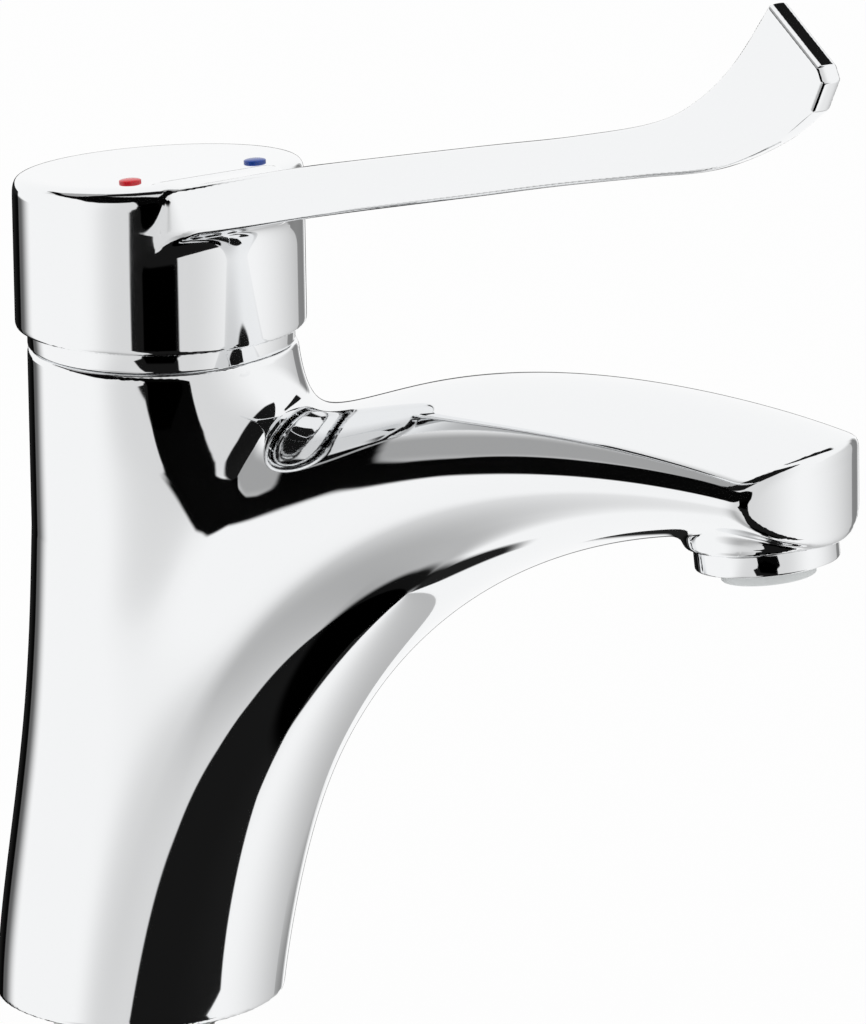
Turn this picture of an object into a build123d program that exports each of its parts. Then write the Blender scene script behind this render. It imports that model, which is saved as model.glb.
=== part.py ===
from build123d import *
from math import cos, radians, sin, sqrt, tan
import os

os.makedirs("parts", exist_ok=True)

# Elbow lever mixer tap. Millimetres, +Z up, spout along -Y, user side at -Y.
# Origin: on the deck, straight under the axis of the neck.

# Driving dimensions
overrun = 2.0            # how far a cut runs past what it cuts
slip = 0.08              # radial running fit of turning and sliding pieces
play = 0.3               # gap between pieces that only pass each other
press = 0.02             # radial gap of a pressed or screwed fit
hex_sides = 6

# Column and neck: circles stacked from the deck up, each with its setback
# behind the neck axis. The top of the last one seats the cover ring.
column_heights = [0.0, 20.0, 40.0, 62.0, 85.0, 117.1]
column_radii = [23.7, 23.55, 23.3, 23.1, 23.0, 23.0]
column_setbacks = [8.7, 6.6, 3.4, 1.2, 0.0, 0.0]
base_radius = column_radii[0]
base_setback = column_setbacks[0]
neck_radius = column_radii[-1]
neck_top = column_heights[-1]

# Nose
nose_round = 24.0        # plan radius of the front face
nose_reach = 133.4       # front of the nose from the neck axis

# Spout: sections fanned round the centre of an arch. Each has its angle above the
# horizontal, its inner and its outer end as shares of the arch, and its half width.
# The first ones start inside the column and the last lie beyond the nose, which is
# cut off.
arch_setback = 21.4      # centre of the arch from the front of the nose
arch_height = 5.0
arch_drop = 5.1          # the arch ends this far under the top of the neck
section_angles = [-6, 6, 18, 30, 42, 54, 66, 78, 90, 102, 114]
section_inner_shares = [0.875, 0.829, 0.812, 0.805, 0.801, 0.800, 0.808, 0.816, 0.828, 0.862, 0.902]
section_outer_shares = [1.205, 1.188, 1.179, 1.179, 1.196, 1.142, 1.089, 1.050, 1.023, 0.994, 0.955]
section_half_width = [22.0, 22.3, 22.5, 22.3, 21.5, 20.5, 19.8, 19.4, 19.0, 18.6, 18.2]

# Outlet
outlet_setback = 14.4    # axis of the outlet from the front of the nose
outlet_tilt = 6.0        # degrees, the stream leans away from the column
outlet_boss_drop = 0.2   # the boss stands this far out of the spout's underside
outlet_boss_radius = 13.7
outlet_bore_radius = 11.0

# Water ways
way_radius = 6.0
way_bend = 18.0
way_start = 9.0          # from the neck axis
way_start_drop = 9.0     # under the cartridge seat
way_knee_reach = 10.0    # ahead of the neck
way_knee_drop = 7.0      # under the cartridge seat
way_end_rise = 9.5       # above the outlet
inlet_spread = 8.5       # each inlet from the middle plane
inlet_thread_radius = 4.5
inlet_thread_depth = 14.0
supply_radius = 3.4
port_spread = 7.0
port_back = 5.0
port_forward = 8.0
port_radius = 3.0

# Cartridge seat in the neck
seat_depth = 31.1        # under the top of the neck
cartridge_radius = 17.5
cartridge_floor = 4.0
cartridge_height = 26.0
shell_wall = 3.0
shell_lid = 4.0
nut_radius = 19.5
nut_bore_radius = 14.4
nut_height = 8.0
nut_head_radius = 17.0
nut_head_height = 3.0
nut_notch_width = 4.0
nut_notch_depth = 2.0
nut_notch_count = 6
nut_relief = 1.0         # the nut's thread runs this far below the cartridge's top

# Ceramic discs and what drives them
disc_thickness = 4.0
fixed_disc_radius = 14.2
moving_disc_radius = 10.8
moving_disc_back = 2.7   # the moving disc rests this far behind the axis
pocket_radius = 7.5
pocket_depth = 2.0
carrier_radius = 8.6
carrier_height = 5.6
rotor_flange_radius = 14.2
rotor_neck_radius = 12.0
rotor_rise = 7.0         # the rotor's neck stands this far out of the cartridge
rotor_slot_width = 9.5
rotor_slot_front = 9.2
rotor_slot_back = 6.4
pivot_drop = 2.8         # the pivot lies this far under the rotor's top
pivot_pin_radius = 1.5
stem_side = 9.0
stem_reach = 6.2         # the square part ends this far under the pivot
stem_finger_radius = 1.9
stem_ball_radius = 2.8
limiter_thickness = 2.0
limiter_notch_width = 6.0

# Handle: cap and lever, one casting
lever_turn = -26.0       # degrees about +Z, lever at rest against the spout
cap_radius = 25.0
cap_gap = 3.6            # the cap hangs this far above the casting
cap_height = 27.3        # on the neck axis
cap_slope = 5.5          # degrees, the top face rises towards the lever
cap_edge_round = 2.0
cap_foot_chamfer = 1.0
skirt_inner_radius = 23.8
skirt_depth = 7.0
cavity_radius = 21.8
roof_thickness = 10.0    # of the cap, over the cavity
hub_radius = 11.0
hub_rise = 5.3           # the hub ends this far above the foot of the cap
socket_roof = 12.0       # metal left above the stem
lever_thickness = 4.0
lever_tip = 203.5        # from the neck axis
lever_rise = 63.0        # top of the lever above the cap's top
lever_root_reach = 18.0  # the lever's outline starts here, inside the cap
lever_flare_radius = 90.0
lever_blend_end = 66.0   # the root has narrowed to the blade here
lever_flare_start = 20.8 # the flare leaves the cap here
paddle_corner_round = 3.5
paddle_point_round = 1.0

# Outline of the lever, as shares of its length from the axis and of its
# rise above the cap's top; below that top they are negative
lever_upper_shares = [
    (0.240, 0.150), (0.487, 0.356), (0.640, 0.481), (0.760, 0.593), (0.826, 0.695), (0.877, 0.824),
]
lever_end_share = (0.927, 1.000)
lever_corner_share = (1.004, 0.860)
lever_lower_shares = [
    (0.985, 0.756), (0.929, 0.642), (0.845, 0.524), (0.747, 0.441), (0.619, 0.336),
    (0.491, 0.226), (0.285, 0.048), (0.172, -0.053), (0.098, -0.115),
]

# Small fittings
mark_radius = 1.9
mark_depth = 1.0
mark_reach = 16.0
mark_angle = 45.0        # degrees each side of the lever
grub_radius = 2.5
grub_rise = 5.0          # the screw sits this far above the end of the hub
grub_length = 6.2
grub_socket_radius = 1.4
grub_socket_depth = 2.5
plug_length = 2.6
ring_height = 4.4
ring_chamfer = 0.4
cover_seal_radius = 20.6
cover_seal_width = 1.6
cover_seal_depth = 1.2
seal_radius = 4.4
seal_width = 1.0
seal_depth = 0.9
aerator_shell_radius = 12.2
aerator_shell_height = 3.8
aerator_thread_height = 6.0
aerator_wall = 1.4
aerator_edge = 0.4
aerator_insert_radius = 8.0
aerator_insert_drop = 2.4
aerator_insert_flange = 1.6
aerator_lip = 1.2
aerator_washer_height = 1.6
grid_hole = 1.1
grid_pitch = 1.9
grid_count = 4           # holes each way from the middle

# Fixing under the deck
gasket_inner_radius = 18.2
gasket_outer_radius = 21.6
gasket_height = 2.0
stud_radius = 3.0
stud_offset = 13.4       # each stud from the base centre
stud_sunk = 18.0
stud_hanging = 52.0
deck_grip = 20.0         # clamped thickness shown here
clamp_radius = 24.0
clamp_thickness = 3.0
rubber_thickness = 3.0
hose_slot_length = 34.0
hose_slot_width = 13.0
stud_nut_flats = 10.0
stud_nut_height = 5.0

# Worked out from the above
turn = radians(lever_turn)
forward = Vector(sin(turn), -cos(turn), 0)
across = Vector(cos(turn), sin(turn), 0)
lever_plane = Plane(origin=(0, 0, 0), x_dir=forward, z_dir=forward.cross(Axis.Z.direction))
slope = radians(cap_slope)
top_normal = Vector(0, 0, cos(slope)) - forward * sin(slope)
tilt = radians(outlet_tilt)
arch_reach = nose_reach - arch_setback
arch_rise = neck_top - arch_drop
outlet_reach = nose_reach - outlet_setback
straight_up = section_angles.index(90)
underside = arch_height + arch_rise * section_inner_shares[straight_up]
outlet_height = underside - outlet_boss_drop
outlet_axis = Vector(0, -sin(tilt), -cos(tilt))
outlet_face = Plane(origin=(0, -outlet_reach, outlet_height), x_dir=(1, 0, 0), z_dir=outlet_axis)
outlet_bore_depth = aerator_thread_height + aerator_washer_height
seat_height = neck_top - seat_depth
shell_top = seat_height + cartridge_height
shell_inner_radius = cartridge_radius - shell_wall
rotor_top = shell_top + rotor_rise
pivot_height = rotor_top - pivot_drop
stem_foot = pivot_height - stem_reach
cap_bottom = neck_top + cap_gap
cap_top = cap_bottom + cap_height
cavity_ceiling = cap_top - roof_thickness
hub_bottom = cap_bottom + hub_rise
socket_ceiling = cap_top - socket_roof
grub_height = hub_bottom + grub_rise
lever_top_height = cap_top + lever_rise
fixed_disc_bottom = seat_height + cartridge_floor
moving_disc_bottom = fixed_disc_bottom + disc_thickness
carrier_bottom = moving_disc_bottom + disc_thickness
rotor_bottom = carrier_bottom + carrier_height + play
rotor_shoulder = shell_top - shell_lid - play
ball_height = carrier_bottom + play + stem_ball_radius
ports = [(port_spread, port_back), (-port_spread, port_back), (0, -port_forward)]
inlets = [(inlet_spread, base_setback), (-inlet_spread, base_setback)]
studs = [(0, base_setback + stud_offset), (0, base_setback - stud_offset)]
clamp_top = -deck_grip - rubber_thickness
clamp_bottom = clamp_top - clamp_thickness
mark_side = mark_reach * sin(radians(mark_angle))
mark_front = -mark_reach * cos(radians(mark_angle))
mark_places = [(mark_side, mark_front), (-mark_side, mark_front)]
top_plane = Plane(origin=(0, 0, cap_top), x_dir=across, z_dir=top_normal)


def on_arch(angle, share):
    """A point of the middle plane: angle round the arch's centre, share of the arch."""
    return Vector(
        0,
        -arch_reach * (1 - share * cos(radians(angle))),
        arch_height + arch_rise * share * sin(radians(angle)),
    )


def on_lever(share):
    """A point of the lever's outline, from its shares."""
    return (lever_tip * share[0], cap_top + lever_rise * share[1])


def top_height(reach):
    """Height of the cap's sloping top at a distance towards the lever."""
    return cap_top + reach * tan(slope)


# Spout, which grows out of the column
with BuildPart() as spout:
    for angle, inner_share, outer_share, half in zip(
        section_angles, section_inner_shares, section_outer_shares, section_half_width
    ):
        inner = on_arch(angle, inner_share)
        outer = on_arch(angle, outer_share)
        depth = outer - inner
        section = Plane(
            origin=(inner + outer) / 2, x_dir=depth, z_dir=depth.cross(Axis.X.direction)
        )
        with BuildSketch(section):
            Ellipse(depth.length / 2, half)
    loft()
    # front face of the nose, round in plan; the same cut trims the foot flat
    nose_center = nose_round - nose_reach
    plan_length = nose_reach + 2 * base_radius
    with BuildSketch(Plane.XY):
        with Locations((0, nose_center)):
            Circle(nose_round)
        with Locations((0, nose_center + plan_length / 2)):
            Rectangle(2 * nose_round, plan_length)
    extrude(amount=arch_height + arch_rise * max(section_outer_shares), mode=Mode.INTERSECT)

# Body casting: column and neck with the spout
with BuildPart() as tap_body:
    for height, radius, setback in zip(column_heights, column_radii, column_setbacks):
        with BuildSketch(Plane(origin=(0, setback, height))):
            Circle(radius)
    loft()
    add(spout.part)
    # outlet boss, hugged by the nose
    with BuildSketch(outlet_face):
        Circle(outlet_boss_radius)
    extrude(amount=-outlet_bore_depth)
    # seat of the cartridge, thread of its nut, groove of the cover seal
    with BuildSketch(Plane.XY.offset(neck_top)):
        Circle(cartridge_radius + slip)
    extrude(amount=seat_height - neck_top, mode=Mode.SUBTRACT)
    with BuildSketch(Plane.XY.offset(neck_top)):
        Circle(nut_radius + press)
    extrude(amount=shell_top - nut_relief - neck_top, mode=Mode.SUBTRACT)
    with BuildSketch(Plane.XY.offset(neck_top)):
        Circle(cover_seal_radius + cover_seal_width / 2)
        Circle(cover_seal_radius - cover_seal_width / 2, mode=Mode.SUBTRACT)
    extrude(amount=-cover_seal_depth, mode=Mode.SUBTRACT)
    # water way from the cartridge to the outlet
    rising = section_angles.index(66)
    rising_share = (section_inner_shares[rising] + section_outer_shares[rising]) / 2
    way_middle = on_arch(section_angles[rising], rising_share)
    with BuildLine(Plane.YZ) as way:
        FilletPolyline(
            (-way_start, seat_height - way_start_drop),
            (-neck_radius - way_knee_reach, seat_height - way_knee_drop),
            (way_middle.Y, way_middle.Z),
            (-outlet_reach + way_end_rise * tan(tilt), outlet_height + way_end_rise),
            radius=way_bend,
        )
    with BuildSketch(Plane(origin=way.line @ 0, z_dir=way.line % 0)):
        Circle(way_radius)
    sweep(path=way.line, mode=Mode.SUBTRACT)
    with Locations(way.line @ 0, way.line @ 1):
        Sphere(way_radius, mode=Mode.SUBTRACT)
    with BuildSketch(outlet_face):
        Circle(outlet_bore_radius)
    extrude(amount=-outlet_bore_depth, mode=Mode.SUBTRACT)
    with BuildSketch(Plane.XY.offset(seat_height)):
        with Locations((0, -port_forward)):
            Circle(port_radius)
    extrude(amount=-way_start_drop, mode=Mode.SUBTRACT)
    # inlets from below, leaning to the ports of the cartridge
    for inlet, port in zip(inlets, ports):
        low = Vector(inlet[0], inlet[1], inlet_thread_depth)
        high = Vector(port[0], port[1], seat_height)
        with BuildSketch(Plane(origin=low, z_dir=high - low)):
            Circle(supply_radius)
        extrude(amount=(high - low).length + overrun, mode=Mode.SUBTRACT)
    with BuildSketch(Plane.XY):
        with Locations(*inlets):
            Circle(inlet_thread_radius)
    extrude(amount=inlet_thread_depth, mode=Mode.SUBTRACT)
    # stud holes and groove of the base gasket
    with BuildSketch(Plane.XY):
        with Locations(*studs):
            Circle(stud_radius + press)
    extrude(amount=stud_sunk, mode=Mode.SUBTRACT)
    with BuildSketch(Plane.XY):
        with Locations((0, base_setback)):
            Circle(gasket_outer_radius + slip)
            Circle(gasket_inner_radius - slip, mode=Mode.SUBTRACT)
    extrude(amount=gasket_height, mode=Mode.SUBTRACT)
tap_body.part.label = "tap_body"
export_step(tap_body.part, "parts/tap_body.step")

# Chromed ring over the neck, under the cap
with BuildPart() as cover_ring:
    with BuildSketch(Plane.XY.offset(neck_top)):
        Circle(neck_radius)
        Circle(nut_head_radius + play, mode=Mode.SUBTRACT)
    extrude(amount=ring_height)
    chamfer(cover_ring.edges().group_by(Axis.Z)[-1], ring_chamfer)
cover_ring.part.label = "cover_ring"
export_step(cover_ring.part, "parts/cover_ring.step")

# Square-cut seal in the top of the neck
with BuildPart() as cover_seal:
    with BuildSketch(Plane.XY.offset(neck_top - cover_seal_depth)):
        Circle(cover_seal_radius + cover_seal_width / 2 - press)
        Circle(cover_seal_radius - cover_seal_width / 2 + press, mode=Mode.SUBTRACT)
    extrude(amount=cover_seal_depth)
cover_seal.part.label = "cover_seal"
export_step(cover_seal.part, "parts/cover_seal.step")

# Brass nut that holds the cartridge down
with BuildPart() as cartridge_nut:
    with BuildSketch(Plane.XY.offset(shell_top)):
        Circle(nut_radius)
    extrude(amount=nut_height - nut_head_height)
    with BuildSketch(Plane.XY.offset(shell_top)):
        Circle(nut_head_radius)
    extrude(amount=nut_height)
    with BuildSketch(Plane.XY.offset(shell_top)):
        Circle(nut_bore_radius)
    extrude(amount=nut_height, mode=Mode.SUBTRACT)
    with BuildSketch(Plane.XY.offset(shell_top + nut_height)):
        with PolarLocations(nut_head_radius, nut_notch_count):
            Rectangle(2 * nut_notch_depth, nut_notch_width)
    extrude(amount=-nut_head_height, mode=Mode.SUBTRACT)
cartridge_nut.part.label = "cartridge_nut"
export_step(cartridge_nut.part, "parts/cartridge_nut.step")

# Lower half of the cartridge, with the ports and the grooves of their seals
with BuildPart() as cartridge_base:
    with BuildSketch(Plane.XY.offset(seat_height)):
        Circle(cartridge_radius)
        with Locations(*ports):
            Circle(port_radius, mode=Mode.SUBTRACT)
    extrude(amount=cartridge_floor)
    with BuildSketch(Plane.XY.offset(seat_height)):
        with Locations(*ports):
            Circle(seal_radius + seal_width / 2 + press)
            Circle(seal_radius - seal_width / 2 - press, mode=Mode.SUBTRACT)
    extrude(amount=seal_depth, mode=Mode.SUBTRACT)
cartridge_base.part.label = "cartridge_base"
export_step(cartridge_base.part, "parts/cartridge_base.step")

# Three port seals under the cartridge
with BuildPart() as port_seals:
    with BuildSketch(Plane.XY.offset(seat_height)):
        with Locations(*ports):
            Circle(seal_radius + seal_width / 2)
            Circle(seal_radius - seal_width / 2, mode=Mode.SUBTRACT)
    extrude(amount=seal_depth)
port_seals.part.label = "port_seals"
export_step(port_seals.part, "parts/port_seals.step")

# Upper half of the cartridge: sleeve and lid
with BuildPart() as cartridge_shell:
    with BuildSketch(Plane.XY.offset(fixed_disc_bottom)):
        Circle(cartridge_radius)
    extrude(amount=shell_top - fixed_disc_bottom)
    with BuildSketch(Plane.XY.offset(fixed_disc_bottom)):
        Circle(shell_inner_radius)
    extrude(amount=shell_top - shell_lid - fixed_disc_bottom, mode=Mode.SUBTRACT)
    with BuildSketch(Plane.XY.offset(shell_top)):
        Circle(rotor_neck_radius + slip)
    extrude(amount=-shell_lid, mode=Mode.SUBTRACT)
cartridge_shell.part.label = "cartridge_shell"
export_step(cartridge_shell.part, "parts/cartridge_shell.step")

# Fixed ceramic disc
with BuildPart() as fixed_disc:
    with BuildSketch(Plane.XY.offset(fixed_disc_bottom)):
        Circle(fixed_disc_radius)
        with Locations(*ports):
            Circle(port_radius, mode=Mode.SUBTRACT)
    extrude(amount=disc_thickness)
fixed_disc.part.label = "fixed_ceramic_disc"
export_step(fixed_disc.part, "parts/fixed_ceramic_disc.step")

# Moving ceramic disc, with the mixing pocket in its underside
disc_place = forward * -moving_disc_back
with BuildPart() as moving_disc:
    with BuildSketch(Plane.XY.offset(moving_disc_bottom)):
        with Locations((disc_place.X, disc_place.Y)):
            Circle(moving_disc_radius)
    extrude(amount=disc_thickness)
    with BuildSketch(Plane.XY.offset(moving_disc_bottom)):
        with Locations((disc_place.X, disc_place.Y)):
            Circle(pocket_radius)
    extrude(amount=pocket_depth, mode=Mode.SUBTRACT)
moving_disc.part.label = "moving_ceramic_disc"
export_step(moving_disc.part, "parts/moving_ceramic_disc.step")

# Carrier that drags the moving disc
with BuildPart() as disc_carrier:
    with BuildSketch(Plane.XY.offset(carrier_bottom)):
        Circle(carrier_radius)
        Circle(stem_ball_radius + play, mode=Mode.SUBTRACT)
    extrude(amount=carrier_height)
disc_carrier.part.label = "disc_carrier"
export_step(disc_carrier.part, "parts/disc_carrier.step")

# Rotor: turns in the cartridge and carries the pivot pin
slot_middle = forward * ((rotor_slot_front - rotor_slot_back) / 2)
with BuildPart() as rotor:
    with BuildSketch(Plane.XY.offset(rotor_bottom)):
        Circle(rotor_flange_radius)
    extrude(amount=rotor_shoulder - rotor_bottom)
    with BuildSketch(Plane.XY.offset(rotor_bottom)):
        Circle(rotor_neck_radius)
    extrude(amount=rotor_top - rotor_bottom)
    with BuildSketch(Plane.XY.offset(rotor_bottom)):
        with Locations(Location((slot_middle.X, slot_middle.Y, 0), (0, 0, lever_turn))):
            Rectangle(rotor_slot_width, rotor_slot_front + rotor_slot_back)
    extrude(amount=rotor_top - rotor_bottom, mode=Mode.SUBTRACT)
    with BuildSketch(Plane(origin=(0, 0, pivot_height), x_dir=(0, 0, 1), z_dir=across)):
        Circle(pivot_pin_radius + press)
    extrude(amount=rotor_neck_radius, both=True, mode=Mode.SUBTRACT)
rotor.part.label = "cartridge_rotor"
export_step(rotor.part, "parts/cartridge_rotor.step")

# Pivot pin across the rotor
with BuildPart() as pivot_pin:
    with BuildSketch(Plane(origin=(0, 0, pivot_height), x_dir=(0, 0, 1), z_dir=across)):
        Circle(pivot_pin_radius)
    extrude(amount=rotor_neck_radius - play, both=True)
pivot_pin.part.label = "pivot_pin"
export_step(pivot_pin.part, "parts/pivot_pin.step")

# Stem: square above, a finger with a ball below
with BuildPart() as stem:
    with BuildSketch(Plane.XY.offset(stem_foot)):
        Rectangle(stem_side, stem_side, rotation=lever_turn)
    extrude(amount=socket_ceiling - stem_foot)
    with BuildSketch(Plane.XY.offset(ball_height)):
        Circle(stem_finger_radius)
    extrude(amount=stem_foot - ball_height)
    with Locations((0, 0, ball_height)):
        Sphere(stem_ball_radius)
    with BuildSketch(Plane(origin=(0, 0, pivot_height), x_dir=(0, 0, 1), z_dir=across)):
        Circle(pivot_pin_radius + slip)
    extrude(amount=stem_side, both=True, mode=Mode.SUBTRACT)
stem.part.label = "cartridge_stem"
export_step(stem.part, "parts/cartridge_stem.step")

# Stop ring that limits how hot the water gets
with BuildPart() as limiter:
    with BuildSketch(Plane.XY.offset(shell_top)):
        Circle(nut_bore_radius - play)
        Circle(rotor_neck_radius + play, mode=Mode.SUBTRACT)
        with Locations((0, limiter_notch_width / -2 - rotor_neck_radius)):
            Rectangle(limiter_notch_width, limiter_notch_width, mode=Mode.SUBTRACT)
    extrude(amount=limiter_thickness)
limiter.part.label = "temperature_limiter"
export_step(limiter.part, "parts/temperature_limiter.step")

# Lever, from its side outline and its flared plan
with BuildPart() as lever:
    with BuildSketch(lever_plane) as outline:
        with BuildLine():
            root_top = (lever_root_reach, top_height(lever_root_reach))
            end = on_lever(lever_end_share)
            corner = on_lever(lever_corner_share)
            Spline(
                root_top,
                *[on_lever(share) for share in lever_upper_shares],
                end,
                tangents=[(cos(slope), sin(slope)), (1, 1)],
            )
            Line(end, corner)
            under = Spline(corner, *[on_lever(share) for share in lever_lower_shares])
            Line(under @ 1, root_top)
        make_face()
        fillet(outline.vertices().sort_by(Axis.X)[-1], paddle_corner_round)
        fillet(outline.vertices().sort_by(Axis.Y)[-1], paddle_point_round)
    extrude(amount=cap_radius, both=True)
    flare_center = lever_flare_radius + lever_thickness / 2
    flare_rise = sqrt(lever_flare_radius**2 - (lever_blend_end - lever_flare_start) ** 2)
    root_half = flare_center - flare_rise
    with BuildSketch(Plane(origin=(0, 0, 0), x_dir=forward, z_dir=(0, 0, 1))):
        with Locations((lever_tip / 2, 0)):
            Rectangle(lever_tip + 2 * overrun, 2 * root_half)
        for hand in (1, -1):
            with Locations((lever_blend_end, hand * flare_center)):
                Circle(lever_flare_radius, mode=Mode.SUBTRACT)
            with Locations((lever_blend_end + lever_tip / 2, hand * (lever_thickness / 2 + lever_tip / 2))):
                Rectangle(lever_tip, lever_tip, mode=Mode.SUBTRACT)
    extrude(amount=lever_top_height + overrun, mode=Mode.INTERSECT)

# Handle: cap and lever in one casting, hollow below, with a hub for the stem
rear = forward * -1
with BuildPart() as handle:
    with BuildSketch(Plane.XY.offset(cap_bottom)):
        Circle(cap_radius)
    extrude(amount=top_height(cap_radius) + overrun - cap_bottom)
    split(bisect_by=top_plane, keep=Keep.BOTTOM)
    fillet(handle.edges().group_by(Axis.Z)[-1], cap_edge_round)
    chamfer(handle.edges().group_by(Axis.Z)[0], cap_foot_chamfer)
    add(lever.part)
    with BuildSketch(Plane.XY.offset(cap_bottom)):
        Circle(skirt_inner_radius)
    extrude(amount=skirt_depth, mode=Mode.SUBTRACT)
    with BuildSketch(Plane.XY.offset(cap_bottom)):
        Circle(cavity_radius)
    extrude(amount=cavity_ceiling - cap_bottom, mode=Mode.SUBTRACT)
    with BuildSketch(Plane.XY.offset(hub_bottom)):
        Circle(hub_radius)
    extrude(amount=cavity_ceiling - hub_bottom)
    with BuildSketch(Plane.XY.offset(hub_bottom)):
        Rectangle(stem_side + 2 * press, stem_side + 2 * press, rotation=lever_turn)
    extrude(amount=socket_ceiling - hub_bottom, mode=Mode.SUBTRACT)
    # screw hole from the back, opposite the lever
    with BuildSketch(Plane(origin=(0, 0, grub_height), z_dir=rear)):
        Circle(grub_radius + press)
    extrude(amount=cap_radius + overrun, mode=Mode.SUBTRACT)
    # pockets of the two marks
    with BuildSketch(top_plane):
        with Locations(*mark_places):
            Circle(mark_radius + press)
    extrude(amount=-mark_depth, mode=Mode.SUBTRACT)
handle.part.label = "handle"
export_step(handle.part, "parts/handle.step")

# Hot and cold marks, let into the top
marks = []
for place in mark_places:
    with BuildPart() as mark:
        with BuildSketch(top_plane):
            with Locations(place):
                Circle(mark_radius)
        extrude(amount=-mark_depth)
    marks.append(mark.part)
for mark_part, name in zip(marks, ("cold_mark", "hot_mark")):
    mark_part.label = name
    export_step(mark_part, f"parts/{name}.step")

# Grub screw that holds the handle on the stem, with its hexagon socket
with BuildPart() as grub_screw:
    with BuildSketch(Plane(origin=rear * (stem_side / 2 + press) + Vector(0, 0, grub_height), z_dir=rear)):
        Circle(grub_radius)
    extrude(amount=grub_length)
    with BuildSketch(grub_screw.faces().sort_by(Axis((0, 0, 0), tuple(rear)))[-1]):
        RegularPolygon(grub_socket_radius, hex_sides)
    extrude(amount=-grub_socket_depth, mode=Mode.SUBTRACT)
grub_screw.part.label = "grub_screw"
export_step(grub_screw.part, "parts/grub_screw.step")

# Plug that closes the screw hole, flush with the cap
with BuildPart() as screw_plug:
    with BuildSketch(Plane(origin=rear * cavity_radius + Vector(0, 0, grub_height), z_dir=rear)):
        Circle(grub_radius)
    extrude(amount=plug_length)
screw_plug.part.label = "screw_plug"
export_step(screw_plug.part, "parts/screw_plug.step")

# Aerator: screwed shell, insert with its grid, washer above
with BuildPart() as aerator_shell:
    with BuildSketch(outlet_face):
        Circle(aerator_shell_radius)
    extrude(amount=aerator_shell_height)
    chamfer(aerator_shell.edges().group_by(Axis.Z)[0], aerator_edge)
    with BuildSketch(outlet_face):
        Circle(outlet_bore_radius - press)
    extrude(amount=-aerator_thread_height)
    with BuildSketch(outlet_face.offset(aerator_shell_height)):
        Circle(aerator_insert_radius + press)
    extrude(amount=-aerator_lip, mode=Mode.SUBTRACT)
    with BuildSketch(outlet_face.offset(aerator_shell_height - aerator_lip)):
        Circle(outlet_bore_radius - aerator_wall)
    extrude(amount=-aerator_thread_height - aerator_shell_height, mode=Mode.SUBTRACT)
aerator_shell.part.label = "aerator_shell"
export_step(aerator_shell.part, "parts/aerator_shell.step")

insert_bottom = aerator_shell_height + aerator_insert_drop
insert_rim = aerator_insert_radius - aerator_wall
grid_steps = [grid_pitch * step for step in range(-grid_count, grid_count + 1)]
grid_reach = insert_rim - grid_hole
grid_places = [
    (x, y) for x in grid_steps for y in grid_steps if sqrt(x * x + y * y) < grid_reach
]
with BuildPart() as aerator_insert:
    with BuildSketch(outlet_face.offset(insert_bottom)):
        Circle(aerator_insert_radius)
    extrude(amount=-(aerator_insert_drop + aerator_lip))
    with BuildSketch(outlet_face.offset(aerator_shell_height - aerator_lip)):
        Circle(outlet_bore_radius - aerator_wall - press)
    extrude(amount=-aerator_insert_flange)
    with BuildSketch(outlet_face.offset(insert_bottom)):
        with Locations(*grid_places):
            Rectangle(grid_hole, grid_hole)
    extrude(amount=-(aerator_insert_drop + aerator_lip + aerator_insert_flange), mode=Mode.SUBTRACT)
aerator_insert.part.label = "aerator_insert"
export_step(aerator_insert.part, "parts/aerator_insert.step")

with BuildPart() as aerator_washer:
    with BuildSketch(outlet_face.offset(-aerator_thread_height)):
        Circle(outlet_bore_radius - press)
        Circle(outlet_bore_radius - 2 * aerator_wall, mode=Mode.SUBTRACT)
    extrude(amount=-aerator_washer_height)
aerator_washer.part.label = "aerator_washer"
export_step(aerator_washer.part, "parts/aerator_washer.step")

# Gasket let into the base
with BuildPart() as base_gasket:
    with BuildSketch(Plane.XY):
        with Locations((0, base_setback)):
            Circle(gasket_outer_radius)
            Circle(gasket_inner_radius, mode=Mode.SUBTRACT)
    extrude(amount=gasket_height)
base_gasket.part.label = "base_gasket"
export_step(base_gasket.part, "parts/base_gasket.step")

# Two threaded studs
with BuildPart() as fixing_studs:
    with BuildSketch(Plane.XY.offset(stud_sunk)):
        with Locations(*studs):
            Circle(stud_radius)
    extrude(amount=-(stud_sunk + stud_hanging))
fixing_studs.part.label = "fixing_studs"
export_step(fixing_studs.part, "parts/fixing_studs.step")


def clamp_outline():
    """Round plate with two stud holes and a slot for the hoses."""
    with Locations((0, base_setback)):
        Circle(clamp_radius)
        SlotOverall(hose_slot_length, hose_slot_width, mode=Mode.SUBTRACT)
    with Locations(*studs):
        Circle(stud_radius + play, mode=Mode.SUBTRACT)


# Rubber pad and metal plate that clamp the deck from below
with BuildPart() as clamp_pad:
    with BuildSketch(Plane.XY.offset(clamp_top)):
        clamp_outline()
    extrude(amount=rubber_thickness)
clamp_pad.part.label = "clamp_pad"
export_step(clamp_pad.part, "parts/clamp_pad.step")

with BuildPart() as clamp_plate:
    with BuildSketch(Plane.XY.offset(clamp_bottom)):
        clamp_outline()
    extrude(amount=clamp_thickness)
clamp_plate.part.label = "clamp_plate"
export_step(clamp_plate.part, "parts/clamp_plate.step")

# Two hexagon nuts on the studs
with BuildPart() as stud_nuts:
    with BuildSketch(Plane.XY.offset(clamp_bottom)):
        with Locations(*studs):
            RegularPolygon(stud_nut_flats / 2, hex_sides, major_radius=False)
            Circle(stud_radius + press, mode=Mode.SUBTRACT)
    extrude(amount=-stud_nut_height)
stud_nuts.part.label = "stud_nuts"
export_step(stud_nuts.part, "parts/stud_nuts.step")
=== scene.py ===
from math import atan, cos, pi, radians, sin, tan

import bmesh
import bpy
import numpy as np
from mathutils import Matrix, Vector


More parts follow.
